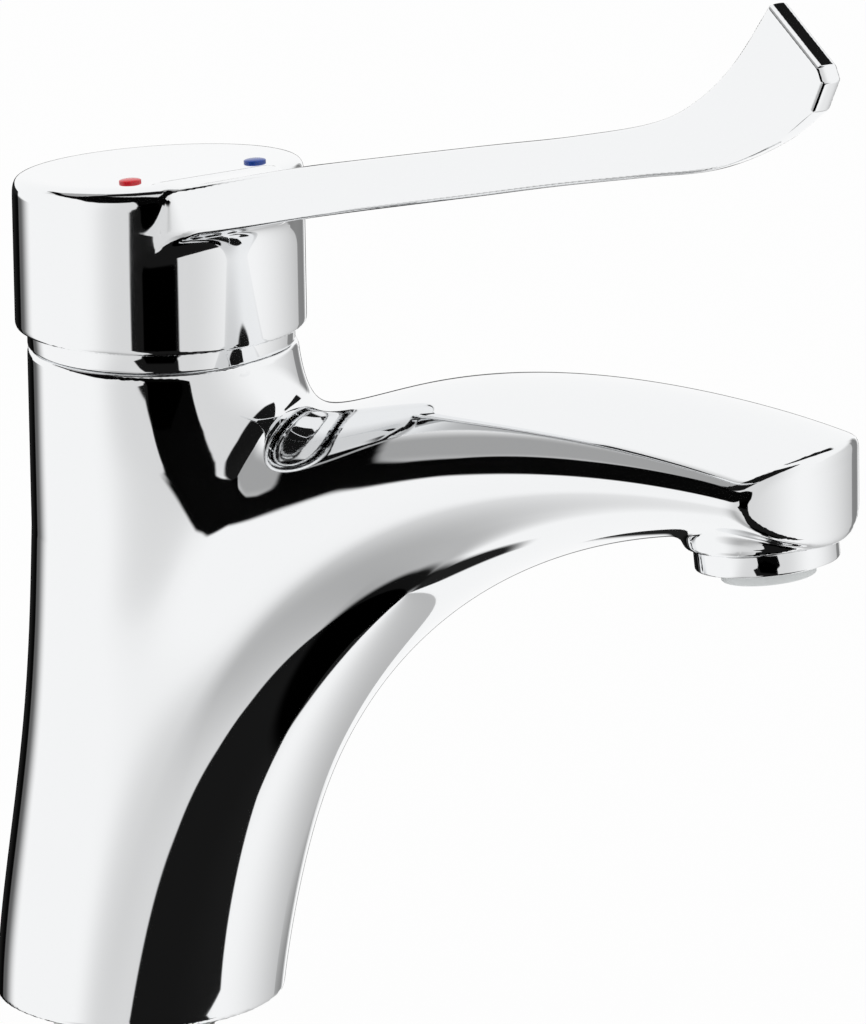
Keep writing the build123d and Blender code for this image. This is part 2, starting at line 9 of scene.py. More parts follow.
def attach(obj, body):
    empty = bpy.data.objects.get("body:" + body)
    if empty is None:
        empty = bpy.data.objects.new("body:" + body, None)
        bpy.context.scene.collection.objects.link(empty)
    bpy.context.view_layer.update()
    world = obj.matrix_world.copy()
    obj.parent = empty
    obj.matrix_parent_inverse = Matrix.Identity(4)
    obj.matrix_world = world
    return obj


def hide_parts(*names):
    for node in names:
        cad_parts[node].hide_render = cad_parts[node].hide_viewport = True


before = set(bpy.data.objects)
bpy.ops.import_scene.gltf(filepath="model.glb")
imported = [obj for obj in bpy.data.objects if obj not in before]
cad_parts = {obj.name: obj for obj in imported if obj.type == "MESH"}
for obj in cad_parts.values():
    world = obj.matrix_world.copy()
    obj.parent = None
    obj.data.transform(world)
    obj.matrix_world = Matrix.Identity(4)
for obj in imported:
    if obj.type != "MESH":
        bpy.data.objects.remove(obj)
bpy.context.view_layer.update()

# Elbow lever mixer tap. The shape functions work in the drawing's millimetres
# and every mesh is written in metres. +Z is up and the spout points along -Y.
MM = 0.001

# Column and spout, close to the drawing of the body
COLUMN_HEIGHTS = [0.0, 13.0, 20.0, 28.0, 35.0, 42.0, 52.0, 62.0, 72.0, 85.0]
COLUMN_SETBACKS = [8.7, 7.7, 6.6, 5.4, 4.4, 3.3, 2.1, 1.2, 0.5, 0.0]
FOOT_RADIUS = 23.7
NECK_RADIUS = 23.0
NECK_TOP = 117.1
ARCH_REACH = 112.0
ARCH_HEIGHT = 5.0
SECTION_ANGLES = [-6, 6, 18, 30, 42, 54, 66, 78, 90, 102, 114]
SECTION_INNER = [98.0, 92.9, 90.9, 90.2, 89.7, 89.6, 90.5, 91.4, 92.7, 96.5, 101.0]
SECTION_OUTER = [135.0, 133.0, 132.0, 132.0, 134.0, 128.4, 123.2, 118.6, 114.9, 111.3, 107.0]
SECTION_HALF = [22.0, 22.3, 22.5, 22.3, 21.5, 20.5, 19.8, 19.4, 19.0, 18.6, 18.2]
SPOUT_BLEND = 13.0
NECK_BLEND = 30.0
NECK_EDGE = 1.8
NECK_BLEND_HEIGHTS = (72.0, 100.0)
NOSE_REACH = 133.4
NOSE_ROUND = 24.0
NOSE_EDGE = 2.2
FOOT_EDGE = 1.2
OUTLET_REACH = 119.0
OUTLET_HEIGHT = 97.5
OUTLET_TILT = radians(6.0)
BOSS_RADIUS = 13.7
BOSS_LENGTH = 10.0
BOSS_EDGE = 1.5
BOSS_BLEND = 3.0
BODY_BOX = ((-29.0, -136.0, -1.6), (29.0, 35.0, 123.0))
BODY_STEP = 0.75

# Handle, close to its drawing, with the marks where the photograph shows them
LEVER_TURN = radians(-26.0)
CAP_RADIUS = 25.0
CAP_BOTTOM = 120.7
CAP_TOP = 148.0
CAP_SLOPE = radians(5.5)
CAP_EDGE = 2.0
SKIRT_RADIUS = 23.8
SKIRT_TOP = 127.7
CAVITY_RADIUS = 21.8
CAVITY_TOP = 138.0
HUB_RADIUS = 11.0
HUB_BOTTOM = 126.0
PLUG_HEIGHT = 131.0
PLUG_RADIUS = 2.6
PLUG_EDGE = 0.8
LEVER_THICKNESS = 4.0
LEVER_EDGE = 1.0
FLARE_RADIUS = 107.0
FLARE_START = 22.0
FLARE_END = 66.0
ROOT_BLEND = 5.5
ROOT_TOP_BLEND = 1.5
ROOT_TOP_DEPTH = 6.0
LEVER_UPPER = [(18.0, 149.9), (25.0, 150.6), (48.7, 157.4), (99.0, 170.4), (130.2, 178.3),
               (154.7, 185.4), (168.0, 191.8), (178.5, 199.9), (188.6, 211.0)]
LEVER_END = [(202.3, 203.5), (203.6, 201.2)]
LEVER_LOWER = [(200.4, 195.7), (189.0, 188.4), (172.0, 181.0), (152.0, 175.8), (126.0, 169.2),
               (99.9, 162.2), (58.0, 151.0), (35.0, 144.6), (19.9, 140.7)]
MARK_RADIUS = 1.9
MARK_REACH = 16.9
MARK_ANGLE = radians(47.2)
MARK_PROUD = 0.3
MARK_SINK = 0.8
MARK_DOME = 0.35
MARK_DOME_START = 0.2
MARK_DOME_STEPS = 8
MARK_SIDES = 48
HANDLE_BOX = ((-27.0, -27.0, 119.0), (207.0, 27.0, 213.0))
HANDLE_STEP = 0.5

# Cover ring between body and cap
RING_INNER = 19.6
RING_OUTER = 22.95
RING_BOTTOM = 117.15
RING_TOP = 121.5
RING_EDGE = 0.4

# Aerator, with places measured down the water's way from the outlet's face
SHELL_BORE = 9.6
SHELL_RADIUS = 10.95
SHELL_START = -6.0
SHELL_EDGE = 0.35
FLANGE_RADIUS = 12.2
FLANGE_END = 3.8
LIP_BORE = 8.05
LIP_START = 2.6
INSERT_BORE = 6.6
INSERT_RADIUS = 8.0
INSERT_START = 1.0
INSERT_END = 6.2
INSERT_EDGE = 0.3
INSERT_SIDES = 96
GRID_RADIUS = 6.8
GRID_PLACE = 5.2
GRID_BARS = 7
BAR_STEP = 1.9
BAR_WIDTH = 0.6
BAR_HEIGHT = 1.2
BAR_LENGTH = 30.0
GRID_TRIMMER = 40.0

# Fixing under the deck
STUDS = 2
STUD_OFFSET = 13.4
STUD_TOP = 18.0
STUD_BOTTOM = -52.0
STUD_CORE = 2.6
THREAD_PITCH = 1.0
THREAD_RIDGE = 0.42
NUT_FLATS = 10.0
NUT_HEIGHT = 5.0
NUT_TOP = -26.0
NUT_BORE = 3.05
NUT_EASING = 6.0
NUT_CUTTER = 20.0

# Meshing: the widest angle that is still smooth, how near two corners merge, how
# often the corners are moved on to the surface and the least slope taken for that,
# and the most of a side that the easing of one corner takes up
SMOOTH_ANGLE = radians(25.0)
MERGE_REACH = 0.0001
SETTLING_ROUNDS = 5
LEAST_SLOPE = 0.2
EASING_SHARE = 0.45

# White paper on the floor, just below the studs
FLOOR_HALF = 6000.0
FLOOR_GAP = 0.5
FLOOR_GLOW = 0.85

# Camera, fitted to the round edges of foot, ring and cap in the photograph
CAMERA_TURN = radians(-57.0)
CAMERA_RISE = radians(14.3)
CAMERA_DISTANCE = 1980.0
CAMERA_AIM = (0.0, 0.0, 120.7)
CAMERA_AIM_PIXEL = (161.0, 320.5)
CAMERA_ROLL = radians(1.2)
PIXELS_PER_MM = 5.84
IMAGE = (866, 1024)
SENSOR = 36.0
CLIP_START, CLIP_END = 0.1, 50.0

# Directions along the lever and across it
forward = np.array([sin(LEVER_TURN), -cos(LEVER_TURN), 0.0])
across = np.array([cos(LEVER_TURN), sin(LEVER_TURN), 0.0])


# Materials
def linear(code):
    """Linear colour of an sRGB hex code."""
    parts = [int(code[i:i + 2], 16) / 255 for i in (1, 3, 5)]
    return tuple(p / 12.92 if p <= 0.04045 else ((p + 0.055) / 1.055) ** 2.4 for p in parts) + (1.0,)


def add(tree, kind, settings=None, **links):
    """One node with its settings and links; i0, i1 and so on are sockets by number."""
    node = tree.nodes.new(kind)
    for name, value in (settings or {}).items():
        if isinstance(name, str) and name in node.bl_rna.properties:
            setattr(node, name, value)
        else:
            node.inputs[name].default_value = value
    for name, sources in links.items():
        socket = node.inputs[int(name[1:]) if name[1:].isdigit() else name.replace("_", " ")]
        for source in sources if isinstance(sources, list) else [sources]:
            tree.links.new(source, socket)
    return node


def cleared_tree(owner):
    """Empty node tree of a material or a world."""
    owner.use_nodes = True
    owner.node_tree.nodes.clear()
    return owner.node_tree


def finish_of(name, colour, roughness, metallic=0.0, grain=1.0, stretch=(1, 1, 1),
              unevenness=0.1, bump=0.0):
    """Material whose roughness and height vary with a grain of that size in mm."""
    made = bpy.data.materials.new(name)
    tree = cleared_tree(made)
    place = add(tree, "ShaderNodeTexCoord")
    scaled = add(tree, "ShaderNodeMapping", {"Scale": stretch}, Vector=place.outputs["Object"])
    noise = add(tree, "ShaderNodeTexNoise", {"Scale": 1 / (grain * MM), "Detail": 3.0},
                Vector=scaled.outputs["Vector"])
    rough = add(tree, "ShaderNodeMapRange", {
        "To Min": roughness * (1 - unevenness), "To Max": roughness * (1 + unevenness)},
        Value=noise.outputs["Fac"])
    texture = {"Roughness": rough.outputs["Result"]}
    if bump:
        height = add(tree, "ShaderNodeBump", {"Strength": 1.0, "Distance": bump * MM},
                     Height=noise.outputs["Fac"])
        texture["Normal"] = height.outputs["Normal"]
    shader = add(tree, "ShaderNodeBsdfPrincipled", {
        "Base Color": linear(colour), "Metallic": metallic}, **texture)
    add(tree, "ShaderNodeOutputMaterial", None, Surface=shader.outputs["BSDF"])
    return made


# Nickel and chromium on cast brass: a mirror, faintly uneven where it is wiped
chrome = finish_of("chrome_plated_brass", "#F3F4F5", roughness=0.035, metallic=1.0,
                   grain=14.0, unevenness=0.5)
# The same plate on die-cast zinc, a trace softer on the edges
chrome_zinc = finish_of("chrome_plated_zinc", "#F3F4F5", roughness=0.04, metallic=1.0,
                        grain=18.0, unevenness=0.5)
# Turned brass: warm, with fine tool lines round the axis
brass = finish_of("turned_brass", "#C9A45C", roughness=0.3, metallic=1.0, grain=0.6,
                  stretch=(0.1, 0.1, 1), bump=0.01)
# Rolled stainless steel: grey and satin
steel = finish_of("stainless_steel", "#B9BAB8", roughness=0.32, metallic=1.0, grain=0.4,
                  stretch=(1, 1, 0.2), bump=0.01)
# Moulded EPDM rubber: matt black with a soft skin
rubber = finish_of("moulded_epdm_rubber", "#1D1D1D", roughness=0.75, grain=0.5, bump=0.02)
# Injection-moulded acetal: smooth, slightly waxy
acetal_grey = finish_of("moulded_acetal_grey", "#8C9092", roughness=0.45, grain=0.8, bump=0.01)
acetal_white = finish_of("moulded_acetal_white", "#D9DCDC", roughness=0.4, grain=0.8, bump=0.01)
# Sintered alumina, lapped: off-white with a dull sheen
ceramic = finish_of("lapped_alumina", "#E9E5DC", roughness=0.22, grain=0.3, unevenness=0.2)
# Moulded polystyrene, unpainted: bright and glossy
red = finish_of("glossy_red_plastic", "#D2202C", roughness=0.18)
blue = finish_of("glossy_blue_plastic", "#24479B", roughness=0.18)


# Making meshes
def mesh_object(name, points, faces, material, normals=None):
    """Object from points in mm, at the origin, smooth but for its sharp edges."""
    mesh = bpy.data.meshes.new(name)
    mesh.from_pydata([tuple(p) for p in np.asarray(points) * MM], [], faces)
    mesh.materials.append(material)
    mesh.shade_smooth()
    if normals is None:
        mesh.set_sharp_from_angle(angle=SMOOTH_ANGLE)
    else:
        mesh.normals_split_custom_set_from_vertices([tuple(n) for n in normals])
    made = bpy.data.objects.new(name, mesh)
    bpy.context.scene.collection.objects.link(made)
    return made


def surface_net(field, low, high, step):
    """Quads on field = 0: one corner in each grid cell that the surface crosses."""
    axes = [np.arange(a, b + step, step) for a, b in zip(low, high)]
    value = field(*np.meshgrid(*axes, indexing="ij", sparse=True))
    inside = value < 0
    cells = tuple(n - 1 for n in value.shape)
    total, crossings = np.zeros(cells + (3,)), np.zeros(cells)
    for axis in range(3):
        near = tuple(slice(0, -1) if a == axis else slice(None) for a in range(3))
        far = tuple(slice(1, None) if a == axis else slice(None) for a in range(3))
        crossed = inside[near] != inside[far]
        fall = np.where(crossed, value[near] - value[far], 1)
        share = np.where(crossed, value[near] / fall, 0)
        u, v = [a for a in range(3) if a != axis]
        for i in (0, 1):
            for j in (0, 1):
                pick = [slice(None)] * 3
                pick[u] = slice(i, i + cells[u])
                pick[v] = slice(j, j + cells[v])
                hit = crossed[tuple(pick)]
                total[..., axis] += hit * share[tuple(pick)]
                total[..., u] += hit * i
                total[..., v] += hit * j
                crossings += hit
    used = crossings > 0
    number = np.full(cells, -1)
    number[used] = np.arange(used.sum())
    places = np.argwhere(used)
    start = np.array([a[0] for a in axes])
    points = start + step * (places + total[used] / crossings[used][:, None])
    quads = []
    for axis in range(3):
        u, v = (axis + 1) % 3, (axis + 2) % 3
        near = tuple(slice(0, -1) if a == axis else slice(1, -1) for a in range(3))
        far = tuple(slice(1, None) if a == axis else slice(1, -1) for a in range(3))
        for leaves, edges in ((True, inside[near] & ~inside[far]),
                              (False, ~inside[near] & inside[far])):
            where = np.argwhere(edges)
            where[:, u] += 1
            where[:, v] += 1
            corners = []
            for du, dv in ((-1, -1), (0, -1), (0, 0), (-1, 0)):
                cell = where.copy()
                cell[:, u] += du
                cell[:, v] += dv
                corners.append(number[tuple(cell.T)])
            quads.append(np.stack(corners if leaves else corners[::-1], 1))
    return points, np.concatenate(quads)


def slopes(field, points, reach=0.02):
    """Gradient of the field at the points."""
    parts = []
    for axis in range(3):
        offset = np.zeros(3)
        offset[axis] = reach
        parts.append((field(*(points + offset).T) - field(*(points - offset).T)) / (2 * reach))
    return np.stack(parts, 1)


def solid_from(name, field, box, step, material, directions=np.eye(3)):
    """Closed mesh of a field drawn along those directions, with the field's own normals."""
    points, quads = surface_net(field, *box, step)
    for _ in range(SETTLING_ROUNDS):
        slope = slopes(field, points)
        move = field(*points.T) / np.maximum((slope ** 2).sum(1), LEAST_SLOPE)
        points -= np.clip(move, -step / 2, step / 2)[:, None] * slope
    normals = slopes(field, points)
    normals /= np.linalg.norm(normals, axis=1)[:, None]
    return mesh_object(name, points @ directions, quads.tolist(), material, normals @ directions)


def join(a, b, blend):
    """Union of two distance fields with a fillet."""
    h = np.maximum(blend - np.abs(a - b), 0) / blend
    return np.minimum(a, b) - h ** 3 * blend / 6


def cut(a, b, blend):
    """What lies inside both fields, with a rounded edge."""
    return -join(-a, -b, blend)


def smooth_curve(xs, ys, degree):
    """Polynomial through measured places, which has no ripples for a mirror to show."""
    centre, spread = (xs[0] + xs[-1]) / 2, (xs[-1] - xs[0]) / 2
    fit = np.polyfit((np.array(xs) - centre) / spread, ys, degree)
    return lambda x: np.polyval(fit, (np.clip(x, xs[0], xs[-1]) - centre) / spread)


def turned(name, profile, material, origin=(0, 0, 0), axis=(0, 0, 1), sides=160):
    """Closed profile of (radius, height) spun round an axis."""
    up = Vector(axis).normalized()
    side = up.orthogonal().normalized()
    other = up.cross(side)
    points, faces, count = [], [], len(profile)
    for k in range(sides):
        out = side * cos(2 * pi * k / sides) + other * sin(2 * pi * k / sides)
        points += [Vector(origin) + out * r + up * h for r, h in profile]
    for k in range(sides):
        a, b = k * count, (k + 1) % sides * count
        faces += [(a + i, b + i, b + (i + 1) % count, a + (i + 1) % count) for i in range(count)]
    made = mesh_object(name, points, faces, material)
    outwards(made)
    return made


def outwards(piece):
    """Merges doubles and turns the faces outwards."""
    held = bmesh.new()
    held.from_mesh(piece.data)
    bmesh.ops.remove_doubles(held, verts=held.verts, dist=MERGE_REACH * MM)
    bmesh.ops.recalc_face_normals(held, faces=held.faces)
    held.to_mesh(piece.data)
    held.free()


def rounded(corners, radius, steps=5):
    """Outline of (radius, height) corners, each one eased by a small arc."""
    eased, count = [], len(corners)
    for i, corner in enumerate(corners):
        here = np.array(corner, float)
        before, after = (np.array(corners[j % count], float) - here for j in (i - 1, i + 1))
        a, b = np.linalg.norm(before), np.linalg.norm(after)
        reach = min(radius, a * EASING_SHARE, b * EASING_SHARE)
        p, q = here + before / a * reach, here + after / b * reach
        for s in np.linspace(0, 1, steps):
            eased.append(tuple((1 - s) ** 2 * p + 2 * s * (1 - s) * here + s ** 2 * q))
    return eased


def tube(inner, outer, start, end):
    """Corners of the profile of a plain ring."""
    return [(inner, start), (outer, start), (outer, end), (inner, end)]


# Body
setback_at = smooth_curve(COLUMN_HEIGHTS, COLUMN_SETBACKS, degree=4)
inner_at = smooth_curve(SECTION_ANGLES, SECTION_INNER, degree=5)
outer_at = smooth_curve(SECTION_ANGLES, SECTION_OUTER, degree=6)
half_at = smooth_curve(SECTION_ANGLES, SECTION_HALF, degree=4)
stream = np.array([0.0, -sin(OUTLET_TILT), -cos(OUTLET_TILT)])
outlet = np.array([0.0, -OUTLET_REACH, OUTLET_HEIGHT])


def column_field(x, y, z):
    """Round column that leans back towards its foot."""
    share = np.clip(z / COLUMN_HEIGHTS[-1], 0, 1)
    radius = FOOT_RADIUS + (NECK_RADIUS - FOOT_RADIUS) * share
    shaft = np.hypot(x, y - setback_at(z)) - radius
    return cut(shaft, z - NECK_TOP, NECK_EDGE)


def spout_field(x, y, z):
    """Spout of elliptical sections on an arch, its nose cut round."""
    up, out = z - ARCH_HEIGHT, y + ARCH_REACH
    angle = np.degrees(np.arctan2(up, out))
    inner, outer, half = inner_at(angle), outer_at(angle), half_at(angle)
    middle, depth = (inner + outer) / 2, (outer - inner) / 2
    radial = (np.hypot(up, out) - middle) / depth
    level = np.sqrt(radial ** 2 + (x / half) ** 2)
    steep = np.sqrt((radial / depth) ** 2 + (x / half ** 2) ** 2 + 1e-9)
    body = (level - 1) * level / steep
    nose = np.hypot(x, np.minimum(y + NOSE_REACH - NOSE_ROUND, 0)) - NOSE_ROUND
    return cut(body, nose, NOSE_EDGE)


def boss_field(x, y, z):
    """Short round boss at the outlet, for the aerator."""
    dy, dz = y - outlet[1], z - outlet[2]
    along = dy * stream[1] + dz * stream[2]
    off = np.sqrt(x ** 2 + (dy - along * stream[1]) ** 2 + (dz - along * stream[2]) ** 2)
    return np.maximum(cut(off - BOSS_RADIUS, along, BOSS_EDGE), -BOSS_LENGTH - along)


def body_field(x, y, z):
    """Column, spout and boss in one casting; the fillet grows wide at the neck."""
    low, high = NECK_BLEND_HEIGHTS
    share = np.clip((z - low) / (high - low), 0, 1)
    blend = SPOUT_BLEND + (NECK_BLEND - SPOUT_BLEND) * share ** 2 * (3 - 2 * share)
    whole = join(column_field(x, y, z), spout_field(x, y, z), blend)
    whole = join(whole, boss_field(x, y, z), BOSS_BLEND)
    return cut(whole, -z, FOOT_EDGE)


body = solid_from("body_casting", body_field, BODY_BOX, BODY_STEP, chrome)
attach(body, "tap")
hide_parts("tap_body")


# Handle
def spline_through(points, steps=24):
    """Dense points on a smooth curve through the given ones."""
    given = np.array(points, float)
    longer = np.vstack([2 * given[0] - given[1], given, 2 * given[-1] - given[-2]])
    dense = []
    for a, b, c, d in zip(longer, longer[1:], longer[2:], longer[3:]):
        for t in np.linspace(0, 1, steps, endpoint=False):
            dense.append(0.5 * (2 * b + (c - a) * t + (2 * a - 5 * b + 4 * c - d) * t ** 2
                                + (3 * b - a - 3 * c + d) * t ** 3))
    dense.append(given[-1])
    return np.array(dense)


lever_outline = np.vstack([spline_through(LEVER_UPPER), LEVER_END, spline_through(LEVER_LOWER)])


def outline_field(s, z):
    """Signed distance to the lever's outline, seen from its side."""
    s, z = np.broadcast_arrays(s, z)
    nearest, inside = np.full(s.shape, np.inf), np.zeros(s.shape, bool)
    for p, q in zip(lever_outline, np.roll(lever_outline, -1, 0)):
        e = q - p
        ds, dz = s - p[0], z - p[1]
        t = np.clip((ds * e[0] + dz * e[1]) / (e @ e), 0, 1)
        nearest = np.minimum(nearest, (ds - t * e[0]) ** 2 + (dz - t * e[1]) ** 2)
        if p[1] != q[1]:
            crosses = (p[1] > z) != (q[1] > z)
            inside ^= crosses & (s < e[0] * (z - p[1]) / e[1] + p[0])
    return np.where(inside, -1, 1) * np.sqrt(nearest)


def half_width(s):
    """Half the lever's thickness: a flare from the cap, then the plain blade."""
    left = np.clip(FLARE_END - s, 0, FLARE_END - FLARE_START)
    return LEVER_THICKNESS / 2 + FLARE_RADIUS - np.sqrt(FLARE_RADIUS ** 2 - left ** 2)


def handle_field(s, w, z):
    """Cap and lever; s runs along the lever, w across it."""
    off = np.hypot(s, w)
    top = (z - CAP_TOP) * cos(CAP_SLOPE) - s * sin(CAP_SLOPE)
    cap = cut(off - CAP_RADIUS, CAP_BOTTOM - z, CAP_EDGE / 2)
    blade = cut(np.abs(w) - half_width(s), outline_field(s, z), 2 * LEVER_EDGE)
    share = np.clip((CAP_TOP - z) / ROOT_TOP_DEPTH, 0, 1)
    blend = ROOT_TOP_BLEND + (ROOT_BLEND - ROOT_TOP_BLEND) * share
    whole = join(cut(cap, top, 2 * CAP_EDGE), blade, blend)
    skirt = np.maximum(off - SKIRT_RADIUS, z - SKIRT_TOP)
    cavity = np.maximum(off - CAVITY_RADIUS, z - CAVITY_TOP)
    hub = np.maximum(off - HUB_RADIUS, HUB_BOTTOM - z)
    hollow = np.maximum(np.minimum(skirt, cavity), -hub)
    bore = np.maximum(np.hypot(w, z - PLUG_HEIGHT) - PLUG_RADIUS, s)
    return cut(np.maximum(whole, -hollow), -bore, PLUG_EDGE)


handle = solid_from("lever_handle_casting", handle_field, HANDLE_BOX, HANDLE_STEP, chrome_zinc,
                    np.stack([forward, across, [0, 0, 1]]))
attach(handle, "lever_handle")
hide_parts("handle")

# Turned pieces
ring = turned("cover_ring_turned", rounded(
    tube(RING_INNER, RING_OUTER, RING_BOTTOM, RING_TOP), RING_EDGE), chrome)
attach(ring, "tap")
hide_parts("cover_ring")

shell = turned("aerator_shell_turned", rounded([
    (SHELL_BORE, SHELL_START), (SHELL_RADIUS, SHELL_START), (SHELL_RADIUS, 0.0),
    (FLANGE_RADIUS, 0.0), (FLANGE_RADIUS, FLANGE_END), (LIP_BORE, FLANGE_END),
    (LIP_BORE, LIP_START), (SHELL_BORE, LIP_START)], SHELL_EDGE), chrome, outlet, stream)
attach(shell, "tap")
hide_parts("aerator_shell")

top_normal = forward * -sin(CAP_SLOPE) + np.array([0, 0, cos(CAP_SLOPE)])
mark_along = MARK_REACH * cos(MARK_ANGLE)
dome = [(MARK_RADIUS * cos(t), MARK_PROUD + MARK_DOME * sin(t))
        for t in np.linspace(MARK_DOME_START, pi / 2, MARK_DOME_STEPS)[:-1]]
button_profile = [(0.0, -MARK_SINK), (MARK_RADIUS, -MARK_SINK), (MARK_RADIUS, MARK_PROUD),
                  *dome, (0.0, MARK_PROUD + MARK_DOME)]
for side, name, node, finish, slot in ((-1, "hot_button", "hot_mark", red, "red_plastic"),
                                       (1, "cold_button", "cold_mark", blue, "blue_plastic")):
    spot = forward * mark_along + across * side * MARK_REACH * sin(MARK_ANGLE)
    spot[2] = CAP_TOP + mark_along * tan(CAP_SLOPE)
    button = turned(name, button_profile, finish, spot, top_normal, MARK_SIDES)
    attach(button, "lever_handle")
    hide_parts(node)


# Threads, nuts and grid, laid out by node trees
def grown(name, start, inputs, layout, material):
    """Piece laid out by a node tree from named inputs, then kept as a plain mesh."""
    tree = bpy.data.node_groups.new(name, "GeometryNodeTree")
    tree.interface.new_socket("Geometry", in_out="INPUT", socket_type="NodeSocketGeometry")
    for label, value in inputs.items():
        kind = "NodeSocketInt" if isinstance(value, int) else "NodeSocketFloat"
        tree.interface.new_socket(label, in_out="INPUT", socket_type=kind)
    tree.interface.new_socket("Geometry", in_out="OUTPUT", socket_type="NodeSocketGeometry")
    given = add(tree, "NodeGroupInput")
    real = add(tree, "GeometryNodeRealizeInstances", None, Geometry=layout(tree, given.outputs))
    dressed = add(tree, "GeometryNodeSetMaterial", {"Material": material}, Geometry=real.outputs[0])
    add(tree, "NodeGroupOutput", None, Geometry=dressed.outputs[0])
    piece = start or bpy.data.objects.new(name, bpy.data.meshes.new(name))
    if not start:
        bpy.context.scene.collection.objects.link(piece)
    grower = piece.modifiers.new(name, "NODES")
    grower.node_group = tree
    for item in tree.interface.items_tree:
        if item.in_out == "INPUT" and item.name in inputs:
            grower[item.identifier] = inputs[item.name]
    bpy.context.view_layer.update()
    seen = piece.evaluated_get(bpy.context.evaluated_depsgraph_get())
    kept = bpy.data.meshes.new_from_object(seen)
    piece.modifiers.clear()
    piece.data = kept
    piece.name = name
    outwards(piece)
    kept.shade_smooth()
    kept.set_sharp_from_angle(angle=SMOOTH_ANGLE)
    return piece


def thread_layout(tree, given):
    """Two rods, each a core with one helical ridge."""
    core = add(tree, "GeometryNodeMeshCylinder", {"Vertices": 32},
               Radius=given["Core radius"], Depth=given["Length"])
    helix = add(tree, "GeometryNodeCurveSpiral", {"Resolution": 20}, Rotations=given["Turns"],
                Start_Radius=given["Core radius"], End_Radius=given["Core radius"],
                Height=given["Length"])
    ridge = add(tree, "GeometryNodeCurvePrimitiveCircle", {"Resolution": 3},
                Radius=given["Ridge"])
    coil = add(tree, "GeometryNodeCurveToMesh", {"Fill Caps": True},
               Curve=helix.outputs[0], Profile_Curve=ridge.outputs[0])
    half = add(tree, "ShaderNodeMath", {"operation": "MULTIPLY", 1: -0.5}, i0=given["Length"])
    drop = add(tree, "ShaderNodeCombineXYZ", None, Z=half.outputs[0])
    low_coil = add(tree, "GeometryNodeTransform", None, Geometry=coil.outputs[0],
                   Translation=drop.outputs[0])
    rod = add(tree, "GeometryNodeJoinGeometry", None,
              Geometry=[core.outputs["Mesh"], low_coil.outputs[0]])
    return at_studs(tree, given, rod.outputs[0])


def at_studs(tree, given, shape):
    """The shape at both studs."""
    apart = add(tree, "ShaderNodeCombineXYZ", None, Y=given["Apart"])
    first = add(tree, "ShaderNodeCombineXYZ", None, Y=given["First"], Z=given["Height"])
    row = add(tree, "GeometryNodeMeshLine", None, Count=given["Count"],
              Start_Location=first.outputs[0], Offset=apart.outputs[0])
    placed = add(tree, "GeometryNodeInstanceOnPoints", None, Points=row.outputs[0], Instance=shape)
    return placed.outputs[0]


def nut_layout(tree, given):
    """Two hexagon nuts with rounded corners and a bore."""
    hexagon = add(tree, "GeometryNodeMeshCylinder", {"Vertices": 6},
                  Radius=given["Corner radius"], Depth=given["Thickness"])
    ball = add(tree, "GeometryNodeMeshUVSphere", {"Segments": 48, "Rings": 32},
               Radius=given["Easing radius"])
    eased = add(tree, "GeometryNodeMeshBoolean", {"operation": "INTERSECT"},
                Mesh_2=[hexagon.outputs["Mesh"], ball.outputs["Mesh"]])
    bore = add(tree, "GeometryNodeMeshCylinder", {"Vertices": 32, "Depth": NUT_CUTTER * MM},
               Radius=given["Bore radius"])
    bored = add(tree, "GeometryNodeMeshBoolean", {"operation": "DIFFERENCE"},
                Mesh_1=eased.outputs["Mesh"], Mesh_2=bore.outputs["Mesh"])
    return at_studs(tree, given, bored.outputs["Mesh"])


def grid_layout(tree, given):
    """Crossed bars inside the ring of the aerator insert."""
    size = add(tree, "ShaderNodeCombineXYZ", {"X": BAR_LENGTH * MM},
               Y=given["Bar width"], Z=given["Bar height"])
    bar = add(tree, "GeometryNodeMeshCube", None, Size=size.outputs[0])
    step = add(tree, "ShaderNodeCombineXYZ", None, Y=given["Bar step"])
    first = add(tree, "ShaderNodeCombineXYZ", None, Y=given["First bar"], Z=given["Depth"])
    row = add(tree, "GeometryNodeMeshLine", None, Count=given["Bars"],
              Start_Location=first.outputs[0], Offset=step.outputs[0])
    bars = add(tree, "GeometryNodeInstanceOnPoints", None, Points=row.outputs[0],
               Instance=bar.outputs["Mesh"])
    flat = add(tree, "GeometryNodeRealizeInstances", None, Geometry=bars.outputs[0])
    crossed = add(tree, "GeometryNodeTransform", {"Rotation": (0, 0, pi / 2)},
                  Geometry=flat.outputs[0])
    mesh = add(tree, "GeometryNodeMeshBoolean", {"operation": "UNION"},
               Mesh_2=[flat.outputs[0], crossed.outputs[0]])
    trimmer = add(tree, "GeometryNodeMeshCylinder", {
        "Vertices": INSERT_SIDES, "Depth": GRID_TRIMMER * MM}, Radius=given["Grid radius"])
    trimmed = add(tree, "GeometryNodeMeshBoolean", {"operation": "INTERSECT"},
                  Mesh_2=[mesh.outputs["Mesh"], trimmer.outputs["Mesh"]])
    tilted = add(tree, "GeometryNodeTransform", {
        "Translation": tuple(outlet * MM), "Rotation": (pi - OUTLET_TILT, 0, 0)},
        Geometry=trimmed.outputs["Mesh"])
    both = add(tree, "GeometryNodeJoinGeometry", None,
               Geometry=[tilted.outputs[0], given["Geometry"]])
    return both.outputs[0]


stud_places = {"Count": STUDS, "Apart": 2 * STUD_OFFSET * MM,
               "First": (COLUMN_SETBACKS[0] - STUD_OFFSET) * MM}

studs = grown("threaded_studs", None, {
    "Core radius": STUD_CORE * MM, "Ridge": THREAD_RIDGE * MM,
    "Length": (STUD_TOP - STUD_BOTTOM) * MM, "Turns": (STUD_TOP - STUD_BOTTOM) / THREAD_PITCH,
    "Height": (STUD_TOP + STUD_BOTTOM) / 2 * MM, **stud_places}, thread_layout, steel)
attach(studs, "tap")
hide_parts("fixing_studs")

